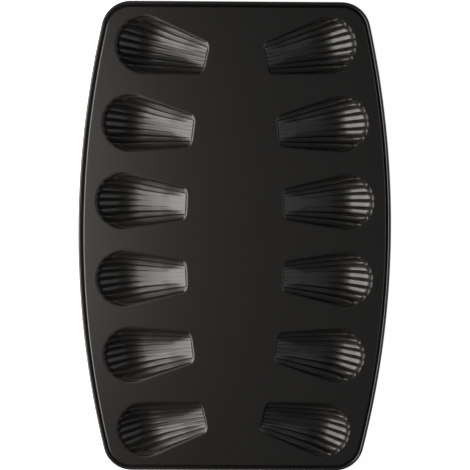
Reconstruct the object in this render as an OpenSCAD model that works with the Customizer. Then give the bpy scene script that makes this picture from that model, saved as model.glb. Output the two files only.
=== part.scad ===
// Madeleine pan: twelve fluted shell cavities in a raised flat deck, with a rolled and wired edge.
// The pan lies flat, +Z up. The origin is the middle of the pan, at the lowest point of the shells.
// The long side runs along Y. Millimetres.

/* [Pan outline] */
// Length over the rolled edge
pan_length = 395; // [385:1:405]
// Width at the middle, over the rolled edge
pan_width = 261.8; // [258:0.2:268]
// Radius of the two bowed long sides
side_radius = 787.99; // [780:0.01:800]
// Radius of the four corners
corner_radius = 24.565; // [22:0.005:27]

/* [Sheet and rim] */
// Thickness of the coated sheet
sheet = 0.6; // [0.5:0.05:0.7]
// Diameter of the wire inside the rolled edge
wire_d = 1.5; // [1.4:0.1:1.8]
// Play between the wire and the sheet rolled round it
wire_play = 0.05; // [0.03:0.01:0.08]
// Depth of the gutter between the rolled edge and the deck
gutter_depth = 2.7; // [2.4:0.1:3]
// Radius of the gutter, on its upper face
gutter_r = 0.5; // [0.4:0.05:0.7]
// Radius of the bend from the wall into the deck, on its upper face
shoulder_r = 1.5; // [1.3:0.1:1.8]
// Lean of the wall between the gutter and the deck, for each 24 that it rises
wall_lean = 7; // [5:1:9]
// How far the rolled edge sits above the gutter's centre, for each 24 outwards
roll_lift = 7; // [4:1:8]
// Where the rolled sheet ends, as an angle round the wire in degrees
roll_end = 285; // [270:1:290]

/* [Shell layout] */
// Shells in each of the two columns
rows = 6; // [6:1:6]
// Angle from one shell to the next, round the centre of the bowed side
row_pitch = 4.985; // [4.95:0.005:5.05]
// Distance from the pan's side to the tip of a shell
tip_inset = 14.7; // [13.5:0.1:16]

/* [Shell shape] */
// Length of a shell at the deck, inside its soft lip
shell_length = 75; // [74:0.5:77]
// Width of a shell at the deck
shell_width = 46; // [44:0.5:47]
// Distance from the narrow end back to the point that all flutes fan from
fan_reach = 58.5; // [56:0.5:61]
// Greatest depth inside, below the deck
shell_depth = 15; // [13:0.1:16]
// Slope of the floor up to the narrow end, in degrees
floor_slope = 16.5; // [14:0.5:18]
// Where the shell is deepest, from the narrow end
deepest_at = 48; // [45:0.5:51]
// Number of flutes
flutes = 8; // [8:2:8]
// Angle from one ridge to the next
flute_pitch = 2.92; // [2.8:0.01:2.98]
// Height of the ridges on the floor, as a share of a flute's width
floor_ridge = 0.035; // [0.02:0.005:0.08]
// Height of the ridges on the slope at the wide end, as a share of a flute's width
tip_ridge = 0.28; // [0.2:0.01:0.3]
// Share of the step between neighbouring flutes that falls at once, beside the ridge
riser_share = 0.75; // [0.5:0.05:0.8]
// Slope of the wall at the narrow end, in degrees
heel_slope = 58; // [50:1:65]
// How far the narrow end's two corners are drawn in
heel_r = 3.2; // [2:0.1:4]
// Width of the soft lip round a shell
lip_w = 1.9; // [1.5:0.1:2.2]
// Drop of the lip at the shell's outline
lip_drop = 0.5; // [0.3:0.05:0.6]

/* [Hidden] */
coat = [0.17, 0.165, 0.16];
steel = [0.72, 0.72, 0.70];

// Outline: two bowed sides, two straight ends, four corners tangent to both
side_centre = side_radius - pan_width / 2;
corner_y = pan_length / 2 - corner_radius;
corner_x = sqrt(pow(side_radius - corner_radius, 2) - corner_y * corner_y) - side_centre;
hub = [-side_centre, 0];
corner = [corner_x, corner_y];
beyond = 2 * corner - hub;

// Rim section: x runs outwards from the pan's edge, so the metal is at negative x, and y = 0 is the deck
roll_bore = wire_d / 2 + wire_play;
roll_r = roll_bore + sheet;
wall_slope = atan2(24, wall_lean);
roll_rise = atan2(roll_lift, 24);
gutter = [-(roll_r + (roll_r + gutter_r) * cos(roll_rise)), gutter_r - gutter_depth];
roll = [-roll_r, gutter[1] + (roll_r + gutter_r) * sin(roll_rise)];
wall_run = gutter_r + shoulder_r;
wall_length = (gutter_depth - wall_run + wall_run * cos(wall_slope)) / sin(wall_slope);
shoulder = [
    gutter[0] - wall_run * sin(wall_slope) - wall_length * cos(wall_slope),
    -shoulder_r
];
rim_inset = -shoulder[0];

// Shell plan: a fan of straight flutes with a round wide end
tip_r = shell_width / 2;
tip_centre = fan_reach + shell_length - tip_r;
fan_half = asin(tip_r / tip_centre);
// Places where the surface is worked out: across each flute, from its outer side to its inner one,
// and as shares of the way along
flute_places = [0, 0.2, 0.58, 1];
column_steps = len(flute_places) - 1;
columns = flutes * column_steps;
stations = [0, 0.02, 0.22, 0.45, 0.62, 0.76, 0.87, 0.955, 1];
last = len(stations) - 1;
// Where across the heel its corners begin
heel_corner = 0.5;
// Share of the width that is level across the middle: most of it at the narrow end, less further on
heel_flat = 0.6;
flat = 0.2;
flat_end = 0.35;
// How the floor curves up beyond that: 1 is straight, 2 is round
arch_power = 1.35;
// How quickly a flute's step levels out, and where the ridges begin to grow towards the wide end
riser_power = 9;
growth_start = 0.4;
// How narrow the ridges are: an even number, greater for a narrower ridge
crest_power = 6;
// Direction from the sheet's inner face to its outer one, half way round the lip
lip_tilt = 60;

// Angle of the ridge, or of the outline for the first and the last, on the low side of flute f
function ridge_angle(f) =
    f == 0 ? -fan_half : f == flutes ? fan_half : (f - flutes / 2) * flute_pitch;
// Column j lies in flute f. The outer side of a flute is the one away from the shell's middle
function flute_of(j) = min(floor(j / column_steps), flutes - 1);
function outer_ridge(f) = f < flutes / 2 ? ridge_angle(f) : ridge_angle(f + 1);
function inner_ridge(f) = f < flutes / 2 ? ridge_angle(f + 1) : ridge_angle(f);
function place_of(j) =
    let (f = flute_of(j), step = j - f * column_steps)
    flute_places[f < flutes / 2 ? step : column_steps - step];
function column_angle(j) =
    let (f = flute_of(j)) outer_ridge(f) + place_of(j) * (inner_ridge(f) - outer_ridge(f));
// 1 on a ridge, falling to 0 in the middle of a flute
function crest(place) = pow(cos(180 * place), crest_power);

// Ends of the ray at angle a: the straight heel with its round corners, and the round wide end
function heel_at(a) =
    let (turn = max(0, abs(a) / fan_half - heel_corner) / (1 - heel_corner))
    fan_reach / cos(a) + heel_r * (1 - sqrt(1 - turn * turn));
function tip_at(a) =
    tip_centre * cos(a) + sqrt(max(0, tip_r * tip_r - pow(tip_centre * sin(a), 2)));

// Depth along the middle: a straight floor, then an arc up to the tip
arc_r = (pow(shell_length - deepest_at, 2) + shell_depth * shell_depth) / (2 * shell_depth);
floor_end = deepest_at - arc_r * sin(floor_slope);
function depth_along(u) =
    u > floor_end
        ? sqrt(max(0, arc_r * arc_r - pow(u - deepest_at, 2))) - arc_r + shell_depth
        : shell_depth - arc_r * (1 - cos(floor_slope)) - (floor_end - u) * tan(floor_slope);
// How much a height square to the floor grows when it is measured straight down
function steepness(u) =
    u > floor_end ? 1 / sqrt(1 - pow((u - deepest_at) / arc_r, 2)) : 1 / cos(floor_slope);
function smooth(t) = let (c = min(1, max(0, t))) c * c * (3 - 2 * c);
// Share of the middle's depth left at angle a: the floor is arched from side to side
function arch(a, s) =
    let (level = flat + (heel_flat - flat) * (1 - smooth(s / flat_end)))
    1 - pow(max(0, (abs(a) / fan_half - level) / (1 - level)), arch_power);
// Each flute is a step of the arch: it falls quickly at its outer side, then levels out
function fall(place) = (1 - riser_share) * place + riser_share * (1 - pow(1 - place, riser_power));
function ridge_height(d, s) =
    let (share = floor_ridge + (tip_ridge - floor_ridge) * smooth((s - growth_start) / (1 - growth_start)))
    d * flute_pitch * PI / 180 * share * steepness(s * shell_length);

function on_edge(i, j) = i == 0 || i == last || j == 0 || j == columns;
// A point of the inner face: station i along, column j across
function inner_point(i, j) =
    let (
        a = column_angle(j),
        f = flute_of(j),
        s = stations[i],
        d = heel_at(a) + s * (tip_at(a) - heel_at(a)),
        high = arch(outer_ridge(f), s),
        low = arch(inner_ridge(f), s),
        level = high + fall(place_of(j)) * (low - high),
        floor_depth = depth_along(s * shell_length) * level - ridge_height(d, s) * crest(place_of(j)),
        heel_depth = lip_drop + (d - heel_at(a)) * tan(heel_slope)
    )
    [d * cos(a), d * sin(a), on_edge(i, j) ? -lip_drop : -max(lip_drop, min(floor_depth, heel_depth))];
function unit(v) = v / norm(v);
function inner_normal(i, j) =
    let (run = inner_point(i + 1, j) - inner_point(i - 1, j))
    let (span = inner_point(i, j + 1) - inner_point(i, j - 1))
    unit(cross(run, span));

// The outline as one loop of grid places, anticlockwise from the heel's right corner
outline = concat(
    [for (i = [0 : last - 1]) [i, 0]],
    [for (j = [0 : columns - 1]) [last, j]],
    [for (i = [last : -1 : 1]) [i, columns]],
    [for (j = [columns : -1 : 1]) [0, j]]
);
ring = len(outline);
function outline_point(k) = let (g = outline[(k + ring) % ring]) inner_point(g[0], g[1]);
function outline_normal(k) =
    let (run = unit(outline_point(k + 1) - outline_point(k - 1))) [run[1], -run[0], 0];
lip_edge = [for (k = [0 : ring - 1]) outline_point(k) + lip_w * outline_normal(k) + [0, 0, lip_drop]];
lip_plan = [for (p = lip_edge) [p[0], p[1]]];
// Outer face of the sheet under the outline, half way round the lip's bend
lip_under = [
    for (k = [0 : ring - 1])
        outline_point(k) + sheet * (cos(lip_tilt) * outline_normal(k) - [0, 0, sin(lip_tilt)])
];

inner_face = [for (i = [0 : last]) for (j = [0 : columns]) inner_point(i, j)];
inside_places = [for (i = [1 : last - 1]) for (j = [1 : columns - 1]) [i, j]];
outer_face = [for (g = inside_places) inner_point(g[0], g[1]) - sheet * inner_normal(g[0], g[1])];
deck_z = -min([for (p = outer_face) p[2]]);

// Shells sit on arcs round the centre of the opposite side, so each points at that centre
heel_radius = side_radius - tip_inset - shell_length;
function row_angle(row) = ((rows + 1) / 2 - row) * row_pitch;

// Places of the shell's points in the list that the polyhedron takes
across = columns + 1;
lip_top = (last + 1) * across;
lip_bottom = lip_top + ring;
under_lip = lip_bottom + ring;
outer = under_lip + ring;
function ring_place(i, j) =
    j == 0 ? i : i == last ? last + j : j == columns ? 2 * last + columns - i : 2 * (last + columns) - j;
function inner_place(i, j) = i * across + j;
function outer_place(i, j) =
    on_edge(i, j) ? under_lip + ring_place(i, j) : outer + (i - 1) * (columns - 1) + j - 1;
function halves(a, b, c, d) = [[a, b, c], [a, c, d]];
function strip(from, to) = [
    for (k = [0 : ring - 1]) let (n = (k + 1) % ring) each halves(from[k], from[n], to[n], to[k])
];
function places(start) = [for (k = [0 : ring - 1]) start + k];

shell_points = concat(
    inner_face, lip_edge, [for (p = lip_edge) p - [0, 0, sheet]], lip_under, outer_face
);
shell_faces = concat(
    [
        for (i = [0 : last - 1]) for (j = [0 : columns - 1]) each halves(
            inner_place(i, j), inner_place(i, j + 1), inner_place(i + 1, j + 1), inner_place(i + 1, j)
        )
    ],
    strip([for (g = outline) inner_place(g[0], g[1])], places(lip_top)),
    strip(places(lip_top), places(lip_bottom)),
    strip(places(lip_bottom), places(under_lip)),
    [
        for (i = [0 : last - 1]) for (j = [0 : columns - 1]) each halves(
            outer_place(i, j), outer_place(i + 1, j), outer_place(i + 1, j + 1), outer_place(i, j + 1)
        )
    ]
);

module at_shell(side, row)
    mirror([side == "left" ? 1 : 0, 0, 0])
        translate([-side_centre, 0, 0])
            rotate(row_angle(row))
                translate([heel_radius - fan_reach, 0, 0]) children();

// One cavity of the pressing: fluted inside and out, with its lip
module shell(side, row)
    color(coat) translate([0, 0, deck_z]) at_shell(side, row)
        polyhedron(shell_points, shell_faces, convexity = 8);

// The pan's plan, drawn in from its edge all round
module plan(inset) {
    bowed_r = side_radius - inset;
    round_r = corner_radius - inset;
    intersection() {
        translate([-side_centre, 0]) circle(bowed_r, $fn = 720);
        translate([side_centre, 0]) circle(bowed_r, $fn = 720);
        square([pan_width, 2 * corner_y * bowed_r / (side_radius - corner_radius)], center = true);
    }
    square([2 * corner_x, pan_length - 2 * inset], center = true);
    for (x = [-1, 1], y = [-1, 1]) translate([x * corner_x, y * corner_y]) circle(round_r, $fn = 96);
}

// The flat land between the shells, a plate with twelve openings
module deck()
    color(coat) translate([0, 0, deck_z - sheet]) linear_extrude(sheet) difference() {
        plan(rim_inset);
        for (side = ["left", "right"], row = [1 : rows]) at_shell(side, row) polygon(lip_plan);
    }

// Keeps the part of the children inside the wedge or triangle with these corners
module within(corners)
    intersection() {
        children();
        linear_extrude(2 * corner_radius, center = true) polygon(corners);
    }

// Sweeps a section, drawn with the pan's edge at x = 0, once round the pan
module round_the_pan() {
    for (side = [0, 1]) mirror([side, 0, 0]) {
        within([hub, [beyond[0], -beyond[1]], beyond])
            translate(hub) rotate_extrude($fn = 720) translate([side_radius, 0]) children();
        for (end = [0, 1]) mirror([0, end, 0]) within([corner, beyond, [corner_x, beyond[1]]])
            translate(corner) rotate_extrude($fn = 72) translate([corner_radius, 0]) children();
    }
    for (end = [0, 1]) mirror([0, end, 0])
        translate([-corner_x, pan_length / 2, 0]) rotate([90, 0, 90])
            linear_extrude(2 * corner_x) children();
}

// A stretch of bent sheet in section: an annular sector from angle a to angle b
module bend(inner_r, a, b) {
    reach = 2 * (inner_r + sheet);
    steps = ceil((b - a) / 60);
    intersection() {
        difference() {
            circle(inner_r + sheet, $fn = 64);
            circle(inner_r, $fn = 64);
        }
        polygon(concat([[0, 0]], [
            for (k = [0 : steps]) let (t = a + (b - a) * k / steps) reach * [cos(t), sin(t)]
        ]));
    }
}

module rim_section() {
    translate(shoulder) bend(shoulder_r - sheet, 90 - wall_slope, 90);
    translate(gutter + (gutter_r + sheet / 2) * [-sin(wall_slope), -cos(wall_slope)])
        rotate(180 - wall_slope) translate([0, -sheet / 2]) square([wall_length, sheet]);
    translate(gutter) bend(gutter_r, 270 - wall_slope, 360 + roll_rise);
    translate(roll) bend(roll_bore, 180 - roll_end, 180 + roll_rise);
}

// The edge of the sheet: down the wall, through the gutter, and rolled round the wire
module rolled_rim()
    color(coat) translate([0, 0, deck_z]) round_the_pan() rim_section();

// The closed ring of wire inside the rolled edge
module rim_wire()
    color(steel) translate([0, 0, deck_z]) round_the_pan() translate(roll) circle(d = wire_d, $fn = 24);

deck();
rolled_rim();
rim_wire();
for (side = ["left", "right"], row = [1 : rows])
    shell(side, row);
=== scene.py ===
"""Looks of the madeleine pan: a pressed sheet of coated steel with twelve fluted shells and a rolled edge.

The pan lies flat in the frame, +Z up, its long side along Y. Its shapes are worked out in millimetres,
like the part's source, and become metres when their mesh is made. Floor, lamps and camera are in metres.
"""

from math import asin, atan2, cos, pi, radians, sin, sqrt, tan

import bmesh
import bpy
import numpy as np
from mathutils import Matrix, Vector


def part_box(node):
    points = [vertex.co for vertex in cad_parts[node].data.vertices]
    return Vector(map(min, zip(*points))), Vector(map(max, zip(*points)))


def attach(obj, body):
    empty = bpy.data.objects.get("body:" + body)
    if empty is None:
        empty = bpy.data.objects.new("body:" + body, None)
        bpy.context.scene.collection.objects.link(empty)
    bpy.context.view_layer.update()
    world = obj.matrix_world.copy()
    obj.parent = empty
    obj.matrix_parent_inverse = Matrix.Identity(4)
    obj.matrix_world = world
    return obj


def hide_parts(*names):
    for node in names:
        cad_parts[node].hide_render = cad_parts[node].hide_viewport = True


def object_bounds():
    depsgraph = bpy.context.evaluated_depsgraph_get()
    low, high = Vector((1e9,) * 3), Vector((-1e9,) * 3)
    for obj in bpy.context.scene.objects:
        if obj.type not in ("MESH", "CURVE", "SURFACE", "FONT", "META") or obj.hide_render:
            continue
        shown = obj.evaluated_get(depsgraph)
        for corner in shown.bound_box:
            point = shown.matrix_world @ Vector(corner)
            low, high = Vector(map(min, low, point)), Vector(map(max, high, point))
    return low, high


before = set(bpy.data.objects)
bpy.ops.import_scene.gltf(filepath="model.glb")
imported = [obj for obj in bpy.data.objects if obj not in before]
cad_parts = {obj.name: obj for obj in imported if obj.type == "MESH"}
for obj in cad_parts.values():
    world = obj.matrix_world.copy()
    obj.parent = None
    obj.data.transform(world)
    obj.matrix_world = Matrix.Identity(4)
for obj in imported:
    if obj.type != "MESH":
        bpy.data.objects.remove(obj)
cad_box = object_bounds()

MM = 0.001

# Pan outline, from the frame, and the two radii that shape it
PAN_WIDTH = (cad_box[1][0] - cad_box[0][0]) / MM
PAN_LENGTH = (cad_box[1][1] - cad_box[0][1]) / MM
DECK_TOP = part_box("deck")[1].z / MM
SIDE_RADIUS = 787.99
CORNER_RADIUS = 24.565

# Sheet and rolled edge
SHEET = 0.6
WIRE_D = 1.5
WIRE_PLAY = 0.05
GUTTER_DEPTH = 2.7
GUTTER_R = 0.5
SHOULDER_R = 1.5
WALL_SLOPE = atan2(24, 7)
ROLL_RISE = atan2(7, 24)
ROLL_END = radians(285)

# Shell layout
ROWS = 6
ROW_PITCH = radians(4.985)
TIP_INSET = 14.7

# Shell in plan: a fan whose centre is FAN_REACH behind the narrow end, the heel. The wide end is the tip
SHELL_LENGTH = 75
SHELL_WIDTH = 46
FAN_REACH = 58.5
FLUTES = 8
FLUTE_PITCH = radians(2.92)
HEEL_R = 3.2
HEEL_CORNER = 0.5
TIP_NOTCH = 1.1
LOBE_POWER = 3
SAME_ANGLE = 1e-6

# Depth along the middle: heel wall, floor, deepest place, and the tip's slope and end wall
SHELL_DEPTH = 14.92
HEEL_SLOPE = radians(60)
HEEL_BEND = 0.3
FLOOR_SLOPE = radians(21.6)
FLOOR_END_SLOPE = radians(12)
FLOOR_EASE = 41.4
DEEPEST_AT = 48
TIP_ARC_R = 22
TIP_SLOPE = radians(28)
TIP_WALL_SLOPE = radians(62)
TIP_WALL_BEND = 2.0

# Depth across: the flat share in the middle, the fall to the sides, and how much of it is in the risers.
# The outermost flutes are raised a little at the tip
FLAT_SHARE = 0.18
HEEL_FLAT_SHARE = 0.45
TIP_FLAT_SHARE = 0.4
ARCH_POWER = 1.35
RISER_SHARE = 0.6
TIP_RISER_SHARE = 0.97
RISER_POWER = 9
OUTER_TIP_RISE = 0.7

# Height of the ridges between flutes, as a share of a flute's width
FLOOR_RIDGE = 0.035
WIDE_RIDGE = 0.15
TIP_RIDGE = 0.27
RIDGE_SHARPNESS = 8
MOST_STEEP = 2.2

# Lip: the soft bend from the deck down into the shell
LIP_W = 1.9
LIP_DROP = 0.5
LIP_FLAT = 0.2
LIP_BLEND = 0.3
LIP_REACH = 2.5
LIP_POWER = 2
HEEL_LIP_POWER = 3

# Where values change along the shell: start and length, as shares of the way from heel to tip
HEEL_FLAT_SPAN = (0, 0.3)
HEEL_LIP_SPAN = (0, 0.1)
LIP_SPAN = (0.5, 0.3)
RISER_SPAN = (0.5, 0.3)
WIDE_RIDGE_SPAN = (0.4, 0.35)
TIP_RIDGE_SPAN = (0.7, 0.3)
TIP_FLAT_SPAN = (0.72, 0.22)
OUTER_RISE_SPAN = (0.8, 0.15)

# How finely the curves are drawn
SHARP_EDGE = radians(50)
FLUTE_STEPS = 16
FLUTE_CROWDING = 1.2
HEEL_TO = 0.035
HEEL_STEPS = 7
FLOOR_TO = 0.62
FLOOR_STEPS = 21
BOWL_TO = 0.9
BOWL_STEPS = 15
TIP_STEPS = 14
LIP_STEPS = 10
SIDE_STEPS = 96
CORNER_STEPS = 20
END_STEPS = 24
SHOULDER_STEPS = 10
GUTTER_STEPS = 12
ROLL_STEPS = 28

# Coating: near-black, satin, with a faint mottle and a fine grain
COATING_DARK = (0.0075, 0.0073, 0.0070, 1)
COATING_LIGHT = (0.0105, 0.0102, 0.0098, 1)
COATING_SPECULAR = 0.9
COATING_ROUGHNESS = (0.28, 0.35)
MOTTLE_SCALE = 60
MOTTLE_DETAIL = 4
GRAIN_SCALE = 1500
GRAIN_DETAIL = 3
GRAIN_STRENGTH = 0.15
GRAIN_RELIEF = 0.00005

# Drawn steel of the wire
STEEL_DARK = (0.42, 0.42, 0.41, 1)
STEEL_LIGHT = (0.56, 0.56, 0.54, 1)
STEEL_ROUGHNESS = (0.25, 0.45)
STREAK_SCALE = 900
STREAK_DETAIL = 3

# Floor, and sky, whose strength goes from low to high between two heights over the horizon
FLOOR_SIZE = 30
FLOOR_DROP = 0.0002
FLOOR_COLOUR = (0.8, 0.8, 0.8, 1)
FLOOR_ROUGHNESS = 0.9
FLOOR_GLOW = 0.9
WHITE = (1, 1, 1, 1)
SKY_LOW_AT = 0.35
SKY_HIGH_AT = 0.95
SKY_LOW = 0.02
SKY_HIGH = 0.1
SKY_SEEN = 1.0

# Lamp colours
WARM = (1.0, 0.98, 0.92)
PALE = (1.0, 0.98, 0.96)

# The photograph's camera, found by matching the pan's outline and shells to it
PHOTO_SIZE = 470
FOCAL_PIXELS = 1434.0
MIDDLE_PIXEL = (234.8, 240.3)
CAMERA_DISTANCE = 1.2
CAMERA_ROLL = radians(0.355)
CAMERA_TILT = radians(-6.723)
CAMERA_SWING = radians(-0.682)
OUTLINE_HEIGHT = 0.01397
SENSOR_WIDTH = 36
CLIP_END = 100


def mesh_object(name, points_mm, faces):
    """A smooth-shaded mesh object, with its sharp edges kept crisp."""
    mesh = bpy.data.meshes.new(name)
    mesh.from_pydata([[c * MM for c in p] for p in points_mm], [], faces)
    mesh.validate()
    mesh.shade_smooth()
    mesh.set_sharp_from_angle(angle=SHARP_EDGE)
    piece = bpy.data.objects.new(name, mesh)
    bpy.context.scene.collection.objects.link(piece)
    return piece


# Shell plan and surface

TIP_R = SHELL_WIDTH / 2
TIP_CENTRE = FAN_REACH + SHELL_LENGTH - TIP_R
FAN_HALF = asin(TIP_R / TIP_CENTRE)
ARC_R = ((SHELL_LENGTH - DEEPEST_AT) ** 2 + SHELL_DEPTH**2) / (2 * SHELL_DEPTH)
FLOOR_END = DEEPEST_AT - ARC_R * sin(FLOOR_END_SLOPE)


def ridge_angles():
    """Angles of the outline's two sides and of the ridges between them."""
    inside = [(f - FLUTES / 2) * FLUTE_PITCH for f in range(1, FLUTES)]
    return np.array([-FAN_HALF] + inside + [FAN_HALF])


def columns():
    """For each column across: its angle, its flute's outer and inner side, and its place between them."""
    ridges = ridge_angles()
    rows = [(-FAN_HALF, ridges[0], ridges[1], 0)]
    for low, high in zip(ridges, ridges[1:]):
        outer, inner = (low, high) if low < 0 else (high, low)
        places = [(1 - cos(pi * (k / FLUTE_STEPS) ** FLUTE_CROWDING)) / 2 for k in range(FLUTE_STEPS + 1)]
        if outer == high:
            places = places[::-1]
        for place in places[1:]:
            rows.append((outer + (inner - outer) * place, outer, inner, place))
    return np.array(rows).T


def stations():
    """Shares of the way from the heel to the tip, closest together where the surface bends most."""
    heel = np.linspace(0, HEEL_TO, HEEL_STEPS + 1)[:-1]
    floor = np.linspace(HEEL_TO, FLOOR_TO, FLOOR_STEPS + 1)[:-1]
    bowl = np.linspace(FLOOR_TO, BOWL_TO, BOWL_STEPS + 1)[:-1]
    tip = np.linspace(BOWL_TO, 1, TIP_STEPS + 1)
    return np.concatenate([heel, floor, bowl, tip])


def heel_at(a):
    """Distance of the heel's outline from the fan's centre: straight, and rounded towards its corners."""
    turn = np.maximum(0, np.abs(a) / FAN_HALF - HEEL_CORNER) / (1 - HEEL_CORNER)
    return FAN_REACH / np.cos(a) + HEEL_R * (1 - np.sqrt(np.maximum(0, 1 - turn**2)))


def tip_at(a):
    """Distance of the tip's outline from the fan's centre: a half circle."""
    return TIP_CENTRE * np.cos(a) + np.sqrt(np.maximum(0, TIP_R**2 - (TIP_CENTRE * np.sin(a)) ** 2))


def outermost(outer):
    """Whether a column is in a flute that lies along the outline."""
    return np.abs(outer) > FAN_HALF - SAME_ANGLE


def notch_at(outer, place):
    """How far the tip's outline is drawn in, most at the ridges, so that each flute ends in a lobe."""
    beside_outline = outermost(outer) & (place < 0.5)
    return np.where(beside_outline, 0, TIP_NOTCH * np.abs(2 * place - 1) ** LOBE_POWER)


def crest_at(place):
    """1 on a ridge, falling to 0 in the middle of a flute."""
    return np.cos(pi * place) ** (2 * RIDGE_SHARPNESS)


def smooth(t):
    """A smooth change from 0 to 1 while t does the same."""
    t = np.clip(t, 0, 1)
    return t * t * (3 - 2 * t)


def change(share, span):
    """0 before a span along the shell, 1 after it, and a smooth change within it."""
    start, length = span
    return smooth((share - start) / length)


def soft_larger(a, b, blend):
    """The larger of two values, with a rounded change from one to the other."""
    return (a + b + np.sqrt((a - b) ** 2 + blend**2)) / 2


def soft_smaller(a, b, blend):
    """The smaller of two values, with a rounded change from one to the other."""
    return -soft_larger(-a, -b, blend)


def depth_along(u):
    """Depth along the middle: a floor that levels out into an arc, then a bend and a slope to the tip."""
    back = np.maximum(0, FLOOR_END - u)
    eased = np.where(back < FLOOR_EASE, back**2 / (2 * FLOOR_EASE), back - FLOOR_EASE / 2)
    floor = SHELL_DEPTH - ARC_R * (1 - cos(FLOOR_END_SLOPE)) - back * tan(FLOOR_END_SLOPE)
    floor = floor - eased * (tan(FLOOR_SLOPE) - tan(FLOOR_END_SLOPE))
    bowl = np.sqrt(np.maximum(0, ARC_R**2 - (u - DEEPEST_AT) ** 2)) - ARC_R + SHELL_DEPTH

    up = np.maximum(0, u - DEEPEST_AT)
    bend_length = TIP_ARC_R * sin(TIP_SLOPE)
    turned = TIP_ARC_R - np.sqrt(TIP_ARC_R**2 - np.minimum(up, bend_length) ** 2)
    tip = SHELL_DEPTH - turned - np.maximum(0, up - bend_length) * tan(TIP_SLOPE)
    return np.where(u > DEEPEST_AT, tip, np.where(u > FLOOR_END, bowl, floor))


def arch(angle, share):
    """Share of the middle's depth that is left at an angle: all of it in the flat part, which varies."""
    flat = FLAT_SHARE + (HEEL_FLAT_SHARE - FLAT_SHARE) * (1 - change(share, HEEL_FLAT_SPAN))
    flat = flat + (TIP_FLAT_SHARE - FLAT_SHARE) * change(share, TIP_FLAT_SPAN)
    return 1 - np.maximum(0, (np.abs(angle) / FAN_HALF - flat) / (1 - flat)) ** ARCH_POWER


def channel_depth(along, outer, inner, place, share):
    """Depth of the flutes' floors, which step down to the middle by a riser at each one's outer side."""
    outer_depth = along * arch(outer, share)
    inner_depth = along * arch(inner, share)
    tip_riser = np.where(outermost(outer), RISER_SHARE, TIP_RISER_SHARE)
    riser_share = RISER_SHARE + (tip_riser - RISER_SHARE) * change(share, RISER_SPAN)
    fall = (1 - riser_share) * place + riser_share * (1 - (1 - place) ** RISER_POWER)
    return outer_depth + (inner_depth - outer_depth) * fall


def ridge_height(along, d, place, share):
    """Height of the ridges over the flutes' floors. They grow towards the tip and where it is steep."""
    slope_along = np.gradient(along, axis=0) / np.gradient(share * SHELL_LENGTH, axis=0)
    steepness = np.minimum(MOST_STEEP, np.sqrt(1 + slope_along**2))
    ridge_share = FLOOR_RIDGE + (WIDE_RIDGE - FLOOR_RIDGE) * change(share, WIDE_RIDGE_SPAN)
    ridge_share = ridge_share + (TIP_RIDGE - WIDE_RIDGE) * change(share, TIP_RIDGE_SPAN)
    return d * FLUTE_PITCH * ridge_share * steepness * crest_at(place)


def shell_surface():
    """The inner face as a grid of points: stations along, columns across, z down from the deck."""
    angle, outer, inner, place = columns()
    share = stations()[:, None]
    near = heel_at(angle)
    far = tip_at(angle) - notch_at(outer, place)
    d = near + share * (far - near)
    along = depth_along(share * SHELL_LENGTH)

    floor = channel_depth(along, outer, inner, place, share) - ridge_height(along, d, place, share)
    floor = soft_smaller(floor, LIP_DROP + (d - near) * tan(HEEL_SLOPE), HEEL_BEND)
    floor = floor - np.where(outermost(outer), OUTER_TIP_RISE, 0) * change(share, OUTER_RISE_SPAN)
    floor = soft_smaller(floor, LIP_DROP + (far - d) * tan(TIP_WALL_SLOPE), TIP_WALL_BEND)

    lip_slope = LIP_POWER * LIP_DROP / LIP_W
    lip = LIP_DROP + np.minimum(LIP_REACH, far - d) * lip_slope * change(share, LIP_SPAN)
    depth = soft_larger(floor, lip, LIP_BLEND)
    depth[0, :] = LIP_DROP
    depth[-1, :] = LIP_DROP
    depth[:, 0] = LIP_DROP
    depth[:, -1] = LIP_DROP
    return np.stack([d * np.cos(angle), d * np.sin(angle), -depth], axis=2)


def unit(v):
    """Vectors of length 1 in the same directions."""
    return v / np.linalg.norm(v, axis=-1, keepdims=True)


def grid_normals(grid):
    """Upward normals of a grid of points."""
    along = np.gradient(grid, axis=0)
    across = np.gradient(grid, axis=1)
    return unit(np.cross(along, across))


def outline_places(rows, columns):
    """The rim of the grid as one loop of (row, column), anticlockwise seen from above."""
    places = [(i, 0) for i in range(rows - 1)]
    places += [(rows - 1, j) for j in range(columns - 1)]
    places += [(i, columns - 1) for i in range(rows - 1, 0, -1)]
    places += [(0, j) for j in range(columns - 1, 0, -1)]
    return places


def plain_outline(places):
    """The shell's outline in plan without the notches between its lobes."""
    angle = columns()[0]
    share = stations()
    points = []
    for i, j in places:
        near = heel_at(angle[j])
        d = near + share[i] * (tip_at(angle[j]) - near)
        points.append((d * cos(angle[j]), d * sin(angle[j])))
    return np.array(points)


def lip_rings(outline, places):
    """Rings of points from the shell's outline out to the flat deck, as the lip flattens.

    The lip is a wide soft bend at the sides and the tip, and a tight one at the heel.
    """
    share = stations()[[i for i, j in places]]
    tightness = LIP_POWER + (HEEL_LIP_POWER - LIP_POWER) * (1 - change(share, HEEL_LIP_SPAN))
    plain = plain_outline(places)
    run = unit(np.roll(plain, -1, axis=0) - np.roll(plain, 1, axis=0))
    outward = np.stack([run[:, 1], -run[:, 0]], axis=1)
    edge = plain + LIP_W * outward
    width = np.linalg.norm(edge - outline[:, :2], axis=1)
    rings = []
    for k in range(1, LIP_STEPS + 1):
        t = k / LIP_STEPS
        flat = outline[:, :2] + t * (edge - outline[:, :2])
        drop = LIP_DROP * (1 - t) ** (tightness * width / LIP_W)
        rings.append(np.column_stack([flat, -drop]))
    flat = edge + LIP_FLAT * outward
    rings.append(np.column_stack([flat, np.zeros(len(flat))]))
    return rings


def strip(first, second):
    """Quads between two closed loops of point numbers."""
    n = len(first)
    return [(first[k], first[(k + 1) % n], second[(k + 1) % n], second[k]) for k in range(n)]


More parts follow.
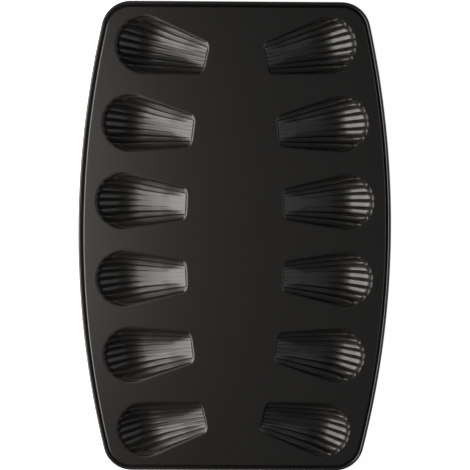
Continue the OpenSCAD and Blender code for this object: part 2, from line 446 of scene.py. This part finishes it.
def grid_faces(start, rows, columns, upward):
    """Quads of a grid whose points are numbered row by row from start."""
    faces = []
    for i in range(rows - 1):
        for j in range(columns - 1):
            here = start + i * columns + j
            ahead = here + columns
            if upward:
                faces.append((here, ahead, ahead + 1, here + 1))
            else:
                faces.append((here, here + 1, ahead + 1, ahead))
    return faces


def shell_mesh():
    """Points and faces of one shell in the fan's own frame, and its outermost loop in plan."""
    inner = shell_surface()
    rows, columns = inner.shape[:2]
    places = outline_places(rows, columns)
    outline = np.array([inner[i, j] for i, j in places])
    rings = lip_rings(outline, places)
    outer = inner - SHEET * grid_normals(inner)
    under = [ring - [0, 0, SHEET] for ring in rings]

    blocks = [inner.reshape(-1, 3)] + rings + under[::-1] + [outer.reshape(-1, 3)]
    starts = np.cumsum([0] + [len(b) for b in blocks])
    outer_start = starts[-2]
    loop = [i * columns + j for i, j in places]
    loops = [loop]
    loops += [[start + k for k in range(len(places))] for start in starts[1:-2]]
    loops += [[outer_start + k for k in loop]]

    faces = grid_faces(0, rows, columns, upward=True)
    for low, high in zip(loops, loops[1:]):
        faces += strip(low[::-1], high[::-1])
    faces += grid_faces(outer_start, rows, columns, upward=False)
    return np.concatenate(blocks), faces, rings[-1][:, :2]


# Where things are in the pan

SIDE_CENTRE = SIDE_RADIUS - PAN_WIDTH / 2
CORNER_Y = PAN_LENGTH / 2 - CORNER_RADIUS
CORNER_X = sqrt((SIDE_RADIUS - CORNER_RADIUS) ** 2 - CORNER_Y**2) - SIDE_CENTRE
HEEL_RADIUS = SIDE_RADIUS - TIP_INSET - SHELL_LENGTH


def shell_place(side, row):
    """Turn about Z and shift, in millimetres, that put the fan's own frame in its place in the pan."""
    turn = ((ROWS + 1) / 2 - row) * ROW_PITCH
    reach = HEEL_RADIUS - FAN_REACH
    x = -SIDE_CENTRE + reach * cos(turn)
    y = reach * sin(turn)
    if side == "left":
        return pi - turn, (-x, y)
    return turn, (x, y)


def pan_path():
    """Points on the pan's edge and their outward directions, once round, anticlockwise."""
    corner_angle = atan2(CORNER_Y, CORNER_X + SIDE_CENTRE)
    quarter = []
    for k in range(SIDE_STEPS // 2 + 1):
        a = corner_angle * k / (SIDE_STEPS // 2)
        quarter.append((-SIDE_CENTRE + SIDE_RADIUS * cos(a), SIDE_RADIUS * sin(a), cos(a), sin(a)))
    for k in range(1, CORNER_STEPS + 1):
        a = corner_angle + (pi / 2 - corner_angle) * k / CORNER_STEPS
        x = CORNER_X + CORNER_RADIUS * cos(a)
        y = CORNER_Y + CORNER_RADIUS * sin(a)
        quarter.append((x, y, cos(a), sin(a)))
    for k in range(1, END_STEPS // 2 + 1):
        quarter.append((CORNER_X * (1 - 2 * k / END_STEPS), PAN_LENGTH / 2, 0, 1))
    quarter = np.array(quarter)
    half = np.concatenate([quarter, (quarter * [-1, 1, -1, 1])[::-1][1:]])
    return np.concatenate([half, (half * [1, -1, 1, -1])[::-1][1:-1]])


# Section of the rolled edge: x runs outwards and is 0 at the pan's edge, z is 0 at the deck

ROLL_BORE = WIRE_D / 2 + WIRE_PLAY
ROLL_R = ROLL_BORE + SHEET
GUTTER_X = -(ROLL_R + (ROLL_R + GUTTER_R) * cos(ROLL_RISE))
GUTTER_Z = GUTTER_R - GUTTER_DEPTH
ROLL_Z = GUTTER_Z + (ROLL_R + GUTTER_R) * sin(ROLL_RISE)
WALL_RUN = GUTTER_R + SHOULDER_R
WALL_LENGTH = (GUTTER_DEPTH - WALL_RUN + WALL_RUN * cos(WALL_SLOPE)) / sin(WALL_SLOPE)
SHOULDER_X = GUTTER_X - WALL_RUN * sin(WALL_SLOPE) - WALL_LENGTH * cos(WALL_SLOPE)


def arc(x, z, r, start, end, steps):
    """Points on an arc from one angle to another."""
    angles = [start + (end - start) * k / steps for k in range(steps + 1)]
    return [(x + r * cos(a), z + r * sin(a)) for a in angles]


def section_side(shoulder_r, gutter_r, roll_r):
    """One face of the sheet, from the deck over the shoulder and gutter to the rolled end."""
    line = arc(SHOULDER_X, -SHOULDER_R, shoulder_r, pi / 2, pi / 2 - WALL_SLOPE, SHOULDER_STEPS)
    line += arc(GUTTER_X, GUTTER_Z, gutter_r, 1.5 * pi - WALL_SLOPE, 2 * pi + ROLL_RISE, GUTTER_STEPS)
    line += arc(-ROLL_R, ROLL_Z, roll_r, pi + ROLL_RISE, pi - ROLL_END, ROLL_STEPS)[1:]
    return line


def rim_section():
    """The sheet's section as a closed loop: along its upper face to the rolled end, and back below."""
    top = section_side(SHOULDER_R, GUTTER_R, ROLL_R)
    under = section_side(SHOULDER_R - SHEET, GUTTER_R + SHEET, ROLL_BORE)
    return np.array(top + under[::-1])


def rolled_edge():
    """The section swept once round the pan."""
    path = pan_path()
    section = rim_section()
    n = len(section)
    points = []
    for x, y, out_x, out_y in path:
        for s, z in section:
            points.append((x + s * out_x, y + s * out_y, DECK_TOP + z))
    faces = []
    for k in range(len(path)):
        here = k * n
        there = (k + 1) % len(path) * n
        for i in range(n):
            j = (i + 1) % n
            faces.append((here + i, here + j, there + j, there + i))
    return mesh_object("rolled_edge", points, faces)


def deck_plate(openings):
    """The flat land between the shells: filled from its loops in plan, and given the sheet's thickness."""
    path = pan_path()
    loops = [path[:, :2] + SHOULDER_X * path[:, 2:]] + openings
    bm = bmesh.new()
    for loop in loops:
        ring = [bm.verts.new((x, y, 0)) for x, y in loop]
        for a, b in zip(ring, ring[1:] + ring[:1]):
            bm.edges.new((a, b))
    bm.verts.index_update()
    bmesh.ops.triangle_fill(bm, edges=bm.edges[:], use_beauty=True, normal=(0, 0, 1))
    flat = np.array([v.co[:2] for v in bm.verts])
    triangles = []
    for face in bm.faces:
        corners = [v.index for v in face.verts]
        triangles.append(corners if face.normal.z > 0 else corners[::-1])
    bm.free()

    n = len(flat)
    top = np.column_stack([flat, np.full(n, DECK_TOP)])
    under = np.column_stack([flat, np.full(n, DECK_TOP - SHEET)])
    faces = triangles + [[n + k for k in reversed(t)] for t in triangles]
    start = 0
    for loop in loops:
        ring = list(range(start, start + len(loop)))
        start += len(loop)
        faces += strip([n + k for k in ring], ring)
    return mesh_object("deck_plate", np.concatenate([top, under]), faces)


# Materials

def new_material(name):
    """A material, its node tree and its shader."""
    material = bpy.data.materials.new(name)
    material.use_nodes = True
    return material, material.node_tree, material.node_tree.nodes["Principled BSDF"]


def noise(tree, scale, detail):
    """Noise fixed to the object, as a value from 0 to 1."""
    place = tree.nodes.new("ShaderNodeTexCoord")
    texture = tree.nodes.new("ShaderNodeTexNoise")
    texture.inputs["Scale"].default_value = scale
    texture.inputs["Detail"].default_value = detail
    tree.links.new(place.outputs["Object"], texture.inputs["Vector"])
    return texture.outputs["Fac"]


def tint(tree, value, dark, light, target):
    """Sends a colour between two others to the target."""
    ramp = tree.nodes.new("ShaderNodeValToRGB")
    ramp.color_ramp.elements[0].color = dark
    ramp.color_ramp.elements[1].color = light
    tree.links.new(value, ramp.inputs["Fac"])
    tree.links.new(ramp.outputs["Color"], target)


def vary(tree, value, limits, target):
    """Sends a number between two limits to the target."""
    spread = tree.nodes.new("ShaderNodeMapRange")
    spread.inputs["To Min"].default_value = limits[0]
    spread.inputs["To Max"].default_value = limits[1]
    tree.links.new(value, spread.inputs["Value"])
    tree.links.new(spread.outputs["Result"], target)


def coated_sheet():
    """The pan's dark non-stick coating."""
    material, tree, shader = new_material("coated_sheet")
    shader.inputs["Specular IOR Level"].default_value = COATING_SPECULAR
    shader.inputs["Metallic"].default_value = 0.0
    mottle = noise(tree, MOTTLE_SCALE, MOTTLE_DETAIL)
    tint(tree, mottle, COATING_DARK, COATING_LIGHT, shader.inputs["Base Color"])
    grain = noise(tree, GRAIN_SCALE, GRAIN_DETAIL)
    vary(tree, grain, COATING_ROUGHNESS, shader.inputs["Roughness"])
    bump = tree.nodes.new("ShaderNodeBump")
    bump.inputs["Strength"].default_value = GRAIN_STRENGTH
    bump.inputs["Distance"].default_value = GRAIN_RELIEF
    tree.links.new(grain, bump.inputs["Height"])
    tree.links.new(bump.outputs["Normal"], shader.inputs["Normal"])
    return material


def drawn_wire():
    """Bare drawn steel."""
    material, tree, shader = new_material("drawn_wire")
    shader.inputs["Metallic"].default_value = 1.0
    streaks = noise(tree, STREAK_SCALE, STREAK_DETAIL)
    tint(tree, streaks, STEEL_DARK, STEEL_LIGHT, shader.inputs["Base Color"])
    vary(tree, streaks, STEEL_ROUGHNESS, shader.inputs["Roughness"])
    return material


def white_floor():
    """A pale floor that the camera sees as white, with the object's shadow kept."""
    material, tree, shader = new_material("white_floor")
    shader.inputs["Base Color"].default_value = FLOOR_COLOUR
    shader.inputs["Roughness"].default_value = FLOOR_ROUGHNESS
    shader.inputs["Specular IOR Level"].default_value = 0.0
    rays = tree.nodes.new("ShaderNodeLightPath")
    seen = rays.outputs["Is Camera Ray"]
    for kind in ("Is Transmission Ray", "Is Glossy Ray"):
        either = tree.nodes.new("ShaderNodeMath")
        either.operation = "MAXIMUM"
        tree.links.new(seen, either.inputs[0])
        tree.links.new(rays.outputs[kind], either.inputs[1])
        seen = either.outputs["Value"]
    glow = tree.nodes.new("ShaderNodeMath")
    glow.operation = "MULTIPLY"
    glow.inputs[1].default_value = FLOOR_GLOW
    tree.links.new(seen, glow.inputs[0])
    tree.links.new(glow.outputs["Value"], shader.inputs["Emission Strength"])
    shader.inputs["Emission Color"].default_value = WHITE
    return material


# Build

sheet_finish = coated_sheet()
points, faces, opening = shell_mesh()
points = points + [0, 0, DECK_TOP]
shell_data = None
openings = []
for side in ("left", "right"):
    for row in range(1, ROWS + 1):
        turn, shift = shell_place(side, row)
        name = f"pressed_shell_{side}_{row}"
        if shell_data is None:
            piece = mesh_object(name, points, faces)
            shell_data = piece.data
        else:
            piece = bpy.data.objects.new(name, shell_data)
            bpy.context.scene.collection.objects.link(piece)
        moved = Matrix.Translation((shift[0] * MM, shift[1] * MM, 0))
        piece.matrix_world = moved @ Matrix.Rotation(turn, 4, "Z")
        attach(piece, "root")
        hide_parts(f"shell_{side}_{row}")
        spin = np.array([[cos(turn), sin(turn)], [-sin(turn), cos(turn)]])
        openings.append(opening @ spin + shift)
shell_data.materials.append(sheet_finish)

deck = deck_plate(openings)
deck.data.materials.append(sheet_finish)
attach(deck, "root")
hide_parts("deck")

edge = rolled_edge()
edge.data.materials.append(sheet_finish)
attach(edge, "root")
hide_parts("rolled_rim")

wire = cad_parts["rim_wire"]
wire.data.materials.clear()
wire.data.materials.append(drawn_wire())

# Stage

bpy.ops.mesh.primitive_plane_add(size=FLOOR_SIZE, location=(0, 0, -FLOOR_DROP))
floor = bpy.context.object
floor.name = "floor"
floor.data.materials.append(white_floor())


def studio_world():
    """A sky that the camera sees as white. It lights the pan like a weak ceiling lamp."""
    world = bpy.data.worlds.new("studio")
    bpy.context.scene.world = world
    world.use_nodes = True
    nodes = world.node_tree.nodes
    links = world.node_tree.links
    sky = nodes["Background"]
    sky.inputs["Color"].default_value = WHITE
    rays = nodes.new("ShaderNodeLightPath")
    where = nodes.new("ShaderNodeTexCoord")
    split = nodes.new("ShaderNodeSeparateXYZ")
    ceiling = nodes.new("ShaderNodeMapRange")
    ceiling.interpolation_type = "SMOOTHSTEP"
    ceiling.inputs["From Min"].default_value = SKY_LOW_AT
    ceiling.inputs["From Max"].default_value = SKY_HIGH_AT
    ceiling.inputs["To Min"].default_value = SKY_LOW
    ceiling.inputs["To Max"].default_value = SKY_HIGH
    level = nodes.new("ShaderNodeMapRange")
    level.inputs["To Max"].default_value = SKY_SEEN
    links.new(where.outputs["Generated"], split.inputs["Vector"])
    links.new(split.outputs["Z"], ceiling.inputs["Value"])
    links.new(ceiling.outputs["Result"], level.inputs["To Min"])
    links.new(rays.outputs["Is Camera Ray"], level.inputs["Value"])
    links.new(level.outputs["Result"], sky.inputs["Strength"])


def softbox(name, centre, target, size, power, colour):
    """A soft area lamp at centre, turned to target. The first of its two sizes runs level."""
    lamp = bpy.data.lights.new(name, "AREA")
    lamp.shape = "RECTANGLE"
    lamp.size, lamp.size_y = size
    lamp.energy = power
    lamp.color = colour
    holder = bpy.data.objects.new(name, lamp)
    bpy.context.scene.collection.objects.link(holder)
    aim = np.array(target, float) - np.array(centre, float)
    back = -aim / np.linalg.norm(aim)
    level_axis = np.cross([0, 0, 1], back)
    level_axis /= np.linalg.norm(level_axis)
    up = np.cross(back, level_axis)
    turn = Matrix(np.column_stack([level_axis, up, back]).tolist()).to_4x4()
    holder.matrix_world = Matrix.Translation(centre) @ turn


def photo_camera():
    """The photograph's view."""
    swing = Matrix.Rotation(CAMERA_SWING, 3, "Y")
    tilt = Matrix.Rotation(CAMERA_TILT, 3, "X")
    turn = swing @ tilt @ Matrix.Rotation(CAMERA_ROLL, 3, "Z")
    lens = bpy.data.cameras.new("camera")
    lens.sensor_width = SENSOR_WIDTH
    lens.lens = FOCAL_PIXELS / PHOTO_SIZE * lens.sensor_width
    lens.shift_x = (PHOTO_SIZE / 2 - MIDDLE_PIXEL[0]) / PHOTO_SIZE
    lens.shift_y = (MIDDLE_PIXEL[1] - PHOTO_SIZE / 2) / PHOTO_SIZE
    lens.clip_end = CLIP_END
    camera = bpy.data.objects.new("camera", lens)
    bpy.context.scene.collection.objects.link(camera)
    place = turn @ Matrix.Identity(3).col[2] * CAMERA_DISTANCE
    camera.matrix_world = Matrix.Translation((place.x, place.y, place.z + OUTLINE_HEIGHT)) @ turn.to_4x4()
    bpy.context.scene.camera = camera


studio_world()
softbox("key", centre=(-0.4, -0.03, 0.235), target=(0.05, -0.03, 0.0),
        size=(0.24, 0.2), power=0.55, colour=WARM)
softbox("key_core", centre=(-0.336, -0.03, 0.317), target=(-0.06, -0.03, 0.0),
        size=(0.3, 0.07), power=0.2, colour=WARM)
softbox("key_spread", centre=(-0.4, -0.05, 0.235), target=(0.05, -0.05, 0.0),
        size=(0.6, 0.3), power=2.85, colour=WARM)
softbox("fill", centre=(0.6, 0, 0.29), target=(0, 0, 0.01),
        size=(0.6, 0.54), power=0.56, colour=PALE)
softbox("overhead", centre=(-0.3, 0.01, 0.5), target=(-0.3, 0.011, 0),
        size=(0.30, 0.40), power=0.26, colour=PALE)
photo_camera()
bpy.context.scene.view_settings.view_transform = "Standard"
